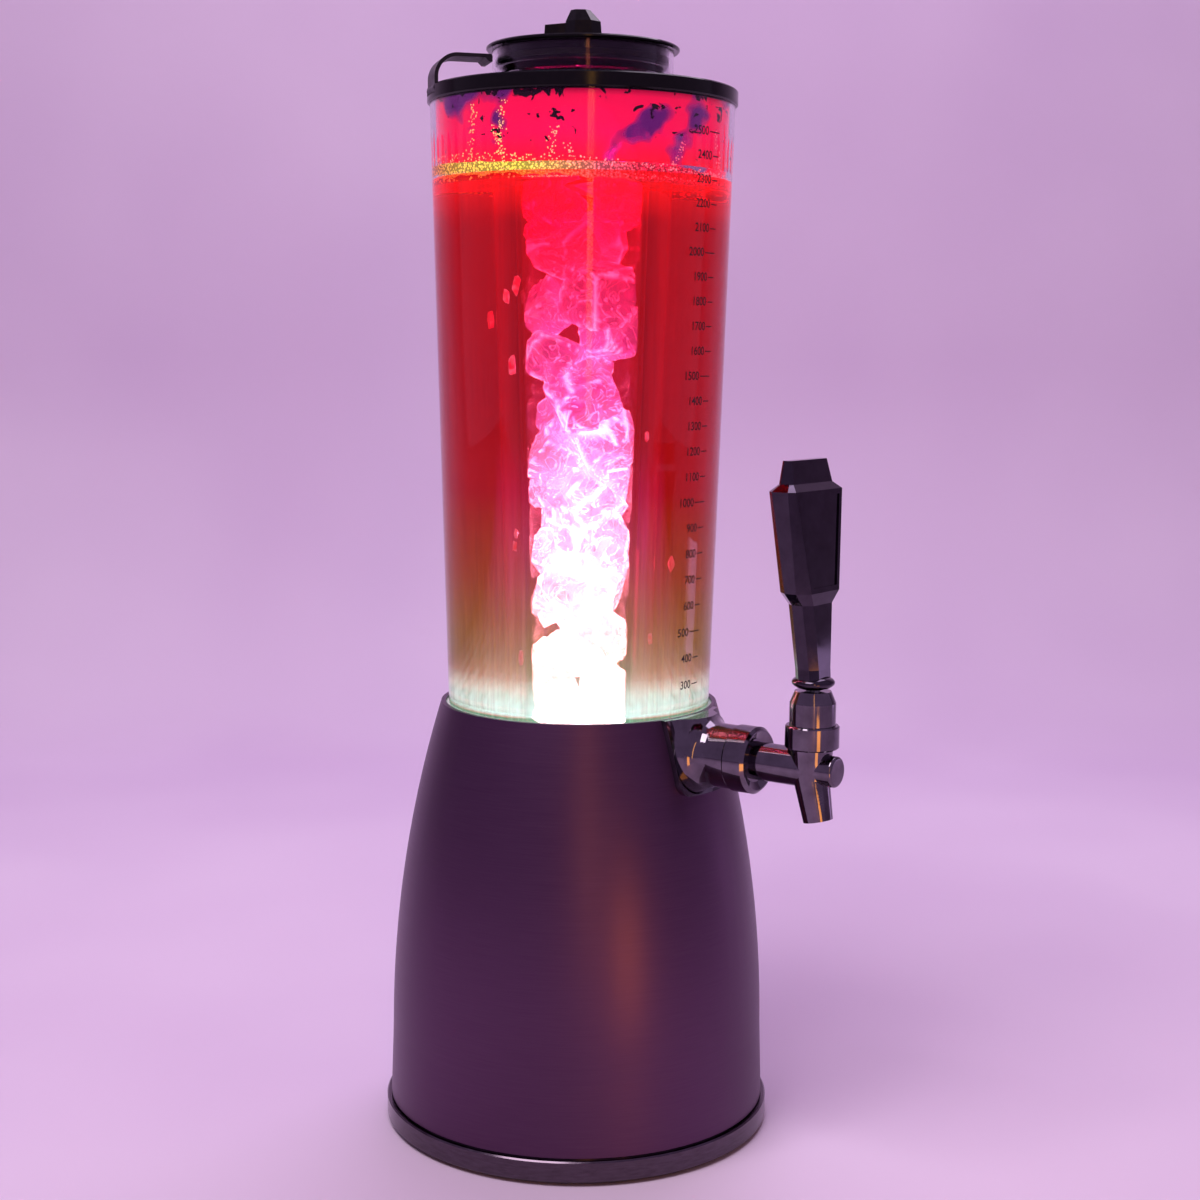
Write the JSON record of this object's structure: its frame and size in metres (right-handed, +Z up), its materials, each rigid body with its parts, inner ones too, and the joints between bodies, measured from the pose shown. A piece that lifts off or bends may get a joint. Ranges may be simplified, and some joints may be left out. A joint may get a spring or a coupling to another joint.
{
  "type": "beer tower dispenser",
  "caption": "Table-top drink tower: tapered clear jar with an ice tube on a satin steel base with a lamp, and a lever tap.",
  "frame": {"origin": "centre of the rubber foot's underside, on the tower's axis", "axes": "+Z up along the tower, -Y towards the tap"},
  "size_m": [0.178, 0.2243, 0.5042],
  "materials": {
    "satin_steel": "satin, fine brushing around the axis",
    "polished_steel": "polished",
    "chrome": "mirror-bright plating",
    "clear_jar": "clear, glossy",
    "clear_tube": "clear, glossy",
    "black_lid": "glossy moulding",
    "black_cap": "glossy moulding",
    "black_clip": "satin moulding",
    "black_rubber": "matt",
    "clear_rubber": "translucent silicone",
    "pale_moulding": "translucent white moulding",
    "dark_moulding": "fine texture",
    "board": "white solder mask",
    "diode": "clear domes",
    "lens": "frosted",
    "steel": "plain, machined",
    "brass": "turned",
    "cell_wrap": "printed wrap, left blank",
    "lead_sheath": "smooth sheath"
  },
  "bodies": {
    "base": {"rubber_foot": "black_rubber", "foot_ring": "polished_steel", "base_shell": "satin_steel", "base_plate": "dark_moulding", "plate_screws": "steel", "jar_cradle": "pale_moulding", "jar_pad": "clear_rubber", "jar": "clear_jar", "lamp_housing": "dark_moulding", "lamp_board": "board", "diodes": "diode", "lamp_lens": "lens", "lamp_lead": "lead_sheath", "battery_box": "dark_moulding", "batteries": "cell_wrap", "battery_contacts": "steel", "door_pin": "steel", "switch_housing": "dark_moulding", "button_spring": "steel", "tap_shank": "brass", "shank_washers": "black_rubber", "shank_nuts": "brass", "tap_flange": "chrome", "coupling_nut": "chrome", "coupling_seal": "black_rubber", "tap_body": "chrome", "front_plug": "chrome", "bonnet": "chrome", "plunger_spring": "steel"},
    "battery_door": {"battery_door": "dark_moulding"},
    "power_button": {"power_button": "black_cap"},
    "plunger": {"plunger": "steel", "plunger_seal": "black_rubber", "plunger_ring": "black_rubber"},
    "handle": {"tap_handle": "chrome", "lever_pin": "steel"},
    "lid": {"jar_lid": "black_lid", "lid_gasket": "clear_rubber", "tube_gasket": "clear_rubber", "clip_pin": "steel"},
    "clip": {"tube_clip": "black_clip"},
    "ice_tube": {"ice_tube": "clear_tube"},
    "cap": {"cap": "black_cap", "cap_seal": "clear_rubber", "cap_knob": "black_cap"}
  },
  "joints": [
    {"name": "door_hinge", "type": "hinge", "parent": "base", "child": "battery_door", "pos_m": [0, 0.0324, 0.0045], "axis": [1, 0, 0], "range_deg": [0, 95]},
    {"name": "button_press", "type": "slide", "parent": "base", "child": "power_button", "axis": [0, 0, 1], "range_m": [0, 0.0015], "stiffness_N_per_m": 600, "springref_m": -0.002, "deforming": ["button_spring"]},
    {"name": "plunger_slide", "type": "slide", "parent": "base", "child": "plunger", "axis": [0, 0, 1], "range_m": [0, 0.00275], "deforming": ["plunger_spring"]},
    {"name": "handle_hinge", "type": "hinge", "parent": "plunger", "child": "handle", "pos_m": [0, -0.1226, 0.2175], "axis": [1, 0, 0], "range_deg": [0, 35], "stiffness_Nm_per_rad": 0.1, "springref_deg": -28.65},
    {"name": "lid_lift", "type": "slide", "parent": "base", "child": "lid", "axis": [0, 0, 1], "range_m": [0, 0.3]},
    {"name": "clip_hinge", "type": "hinge", "parent": "lid", "child": "clip", "pos_m": [-0.05184, 0.04198, 0.4676], "axis": [-0.6293, -0.7771, 0], "range_deg": [0, 90]},
    {"name": "tube_lift", "type": "slide", "parent": "lid", "child": "ice_tube", "axis": [0, 0, 1], "range_m": [0, 0.31]},
    {"name": "cap_lift", "type": "slide", "parent": "ice_tube", "child": "cap", "axis": [0, 0, 1], "range_m": [0, 0.04]}
  ],
  "couplings": [
    {"joint": "plunger_slide", "follows": "handle_hinge", "m_per_rad": 0.0045}
  ]
}
